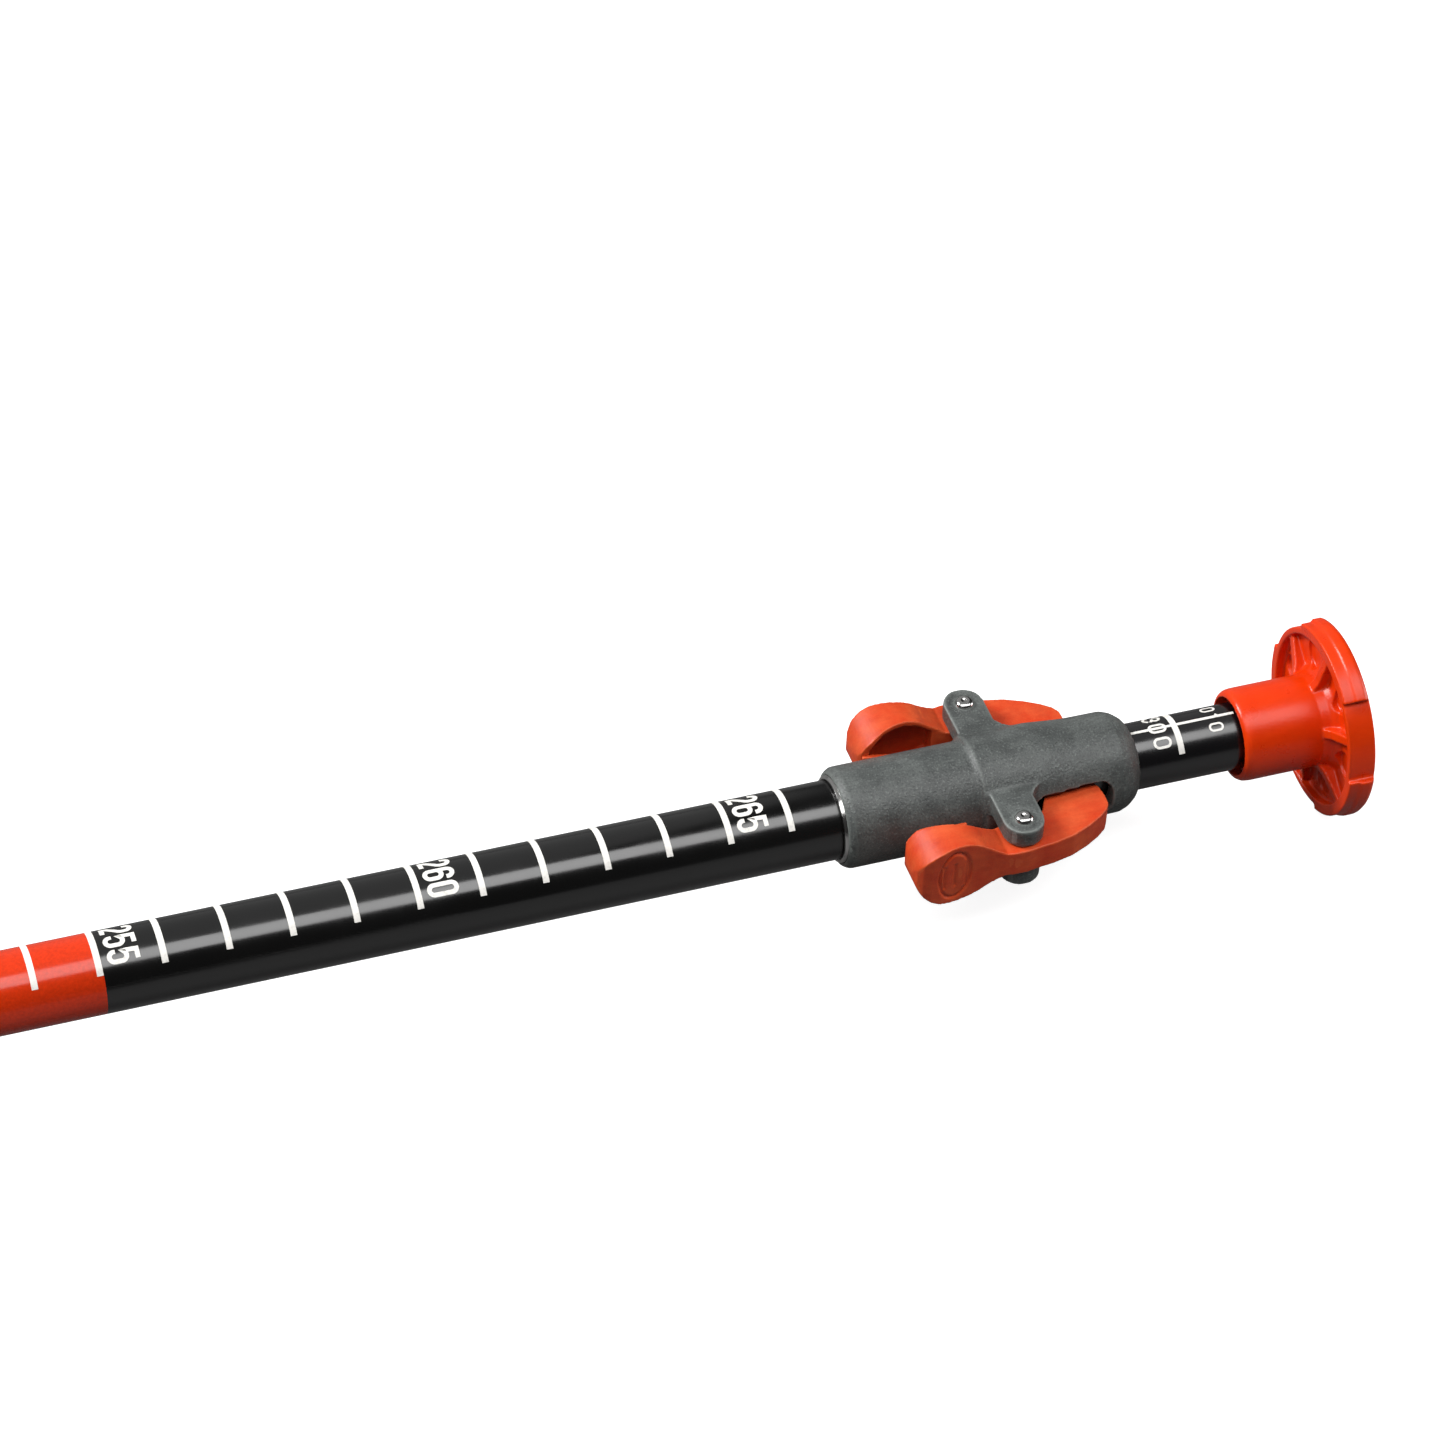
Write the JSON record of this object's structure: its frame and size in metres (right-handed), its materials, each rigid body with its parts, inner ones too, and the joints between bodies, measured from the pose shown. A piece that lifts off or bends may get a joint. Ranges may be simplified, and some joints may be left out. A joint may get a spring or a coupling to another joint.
{
  "type": "collapsible snow probe",
  "caption": "Folding tubular snow probe with a sprung squeeze lock, a telescoping inner tube with a lobed pull handle, and sections strung on one cord.",
  "frame": {"origin": "centre of the handle's flat end face", "axes": "+X along the top section towards the handle, +Z along the lever pins towards the numbered side, +Y towards the far lever"},
  "size_m": [0.5534, 0.2756, 0.0317],
  "materials": {
    "tube_black": "gloss black anodised",
    "lock_grey": "fine-grained moulded grey",
    "lever_red": "satin moulded orange-red",
    "handle_red": "semi-gloss orange-red",
    "steel": "polished",
    "aluminium": "satin",
    "cord": "braided",
    "screw_black": "black oxide"
  },
  "bodies": {
    "top_section": {"section_a_tube": "tube_black", "section_a_ferrule": "aluminium", "section_a_cord": "cord", "lock_housing": "lock_grey", "collar_bush": "steel", "near_pin": "steel", "far_pin": "steel", "loop_ab": "cord"},
    "pull_handle_group": {"inner_tube": "tube_black", "pull_handle": "handle_red", "handle_screw": "screw_black", "cord_anchor": "aluminium"},
    "near_lever_group": {"near_lever": "lever_red", "near_spring_strip": "lever_red"},
    "far_lever_group": {"far_lever": "lever_red", "far_spring_strip": "lever_red"},
    "link_ab": {"tail_ab": "cord"},
    "link_bc": {"tail_bc": "cord"},
    "link_cd": {"tail_cd": "cord"},
    "link_de": {"tail_de": "cord"},
    "link_ef": {"tail_ef": "cord"},
    "section_b": {"section_b_tube": "tube_black", "section_b_ferrule": "aluminium", "section_b_cord": "cord", "loop_bc": "cord"},
    "section_c": {"section_c_tube": "tube_black", "section_c_ferrule": "aluminium", "section_c_cord": "cord", "loop_cd": "cord"},
    "section_d": {"section_d_tube": "tube_black", "section_d_ferrule": "aluminium", "section_d_cord": "cord", "loop_de": "cord"},
    "section_e": {"section_e_tube": "tube_black", "section_e_ferrule": "aluminium", "section_e_cord": "cord", "loop_ef": "cord"},
    "section_f": {"section_f_tube": "tube_black", "section_f_cord": "cord", "cord_stop": "steel", "probe_tip": "steel"}
  },
  "joints": [
    {"name": "handle_pull", "type": "slide", "parent": "top_section", "child": "pull_handle_group", "axis": [1, 0, 0], "range_m": [0, 0.274]},
    {"name": "near_squeeze", "type": "hinge", "parent": "top_section", "child": "near_lever_group", "pos_m": [-0.0623, -0.01355, 0], "axis": [0, 0, -1], "range_deg": [0, 6], "stiffness_Nm_per_rad": 0.6, "deforming": ["near_spring_strip"]},
    {"name": "far_squeeze", "type": "hinge", "parent": "top_section", "child": "far_lever_group", "pos_m": [-0.0623, 0.01355, 0], "axis": [0, 0, 1], "range_deg": [0, 6], "stiffness_Nm_per_rad": 0.6, "deforming": ["far_spring_strip"]},
    {"name": "top_fold", "type": "hinge", "parent": "top_section", "child": "link_ab", "pos_m": [-0.51575, -0.013, 0], "axis": [0, 0, -1], "range_deg": [-22, 158], "deforming": ["loop_ab"]},
    {"name": "seat_ab", "type": "slide", "parent": "link_ab", "child": "section_b", "axis": [-0.9272, 0.3746, 0], "range_m": [0, 0.0165], "deforming": ["tail_ab"]},
    {"name": "fold_bc", "type": "hinge", "parent": "section_b", "child": "link_bc", "pos_m": [-0.09064, -0.20611, 0], "axis": [0, 0, 1], "range_deg": [0, 180], "deforming": ["loop_bc"]},
    {"name": "seat_bc", "type": "slide", "parent": "link_bc", "child": "section_c", "axis": [0.9272, -0.3746, 0], "range_m": [0, 0.0165], "deforming": ["tail_bc"]},
    {"name": "fold_cd", "type": "hinge", "parent": "section_c", "child": "link_cd", "pos_m": [-0.52826, -0.04397, 0], "axis": [0, 0, 1], "range_deg": [-180, 0], "deforming": ["loop_cd"]},
    {"name": "seat_cd", "type": "slide", "parent": "link_cd", "child": "section_d", "axis": [-0.9272, 0.3746, 0], "range_m": [0, 0.0165], "deforming": ["tail_cd"]},
    {"name": "fold_de", "type": "hinge", "parent": "section_d", "child": "link_de", "pos_m": [-0.10083, -0.23133, 0], "axis": [0, 0, 1], "range_deg": [0, 180], "deforming": ["loop_de"]},
    {"name": "seat_de", "type": "slide", "parent": "link_de", "child": "section_e", "axis": [0.9272, -0.3746, 0], "range_m": [0, 0.0165], "deforming": ["tail_de"]},
    {"name": "fold_ef", "type": "hinge", "parent": "section_e", "child": "link_ef", "pos_m": [-0.53845, -0.06919, 0], "axis": [0, 0, 1], "range_deg": [-180, 0], "deforming": ["loop_ef"]},
    {"name": "seat_ef", "type": "slide", "parent": "link_ef", "child": "section_f", "axis": [-0.9272, 0.3746, 0], "range_m": [0, 0.0165], "deforming": ["tail_ef"]}
  ],
  "couplings": [
    {"joint": "fold_cd", "follows": "fold_bc", "ratio": -1},
    {"joint": "fold_de", "follows": "fold_bc", "ratio": 1},
    {"joint": "fold_ef", "follows": "fold_bc", "ratio": -1},
    {"joint": "seat_bc", "follows": "seat_ab", "ratio": 1},
    {"joint": "seat_cd", "follows": "seat_ab", "ratio": 1},
    {"joint": "seat_de", "follows": "seat_ab", "ratio": 1},
    {"joint": "seat_ef", "follows": "seat_ab", "ratio": 1}
  ]
}
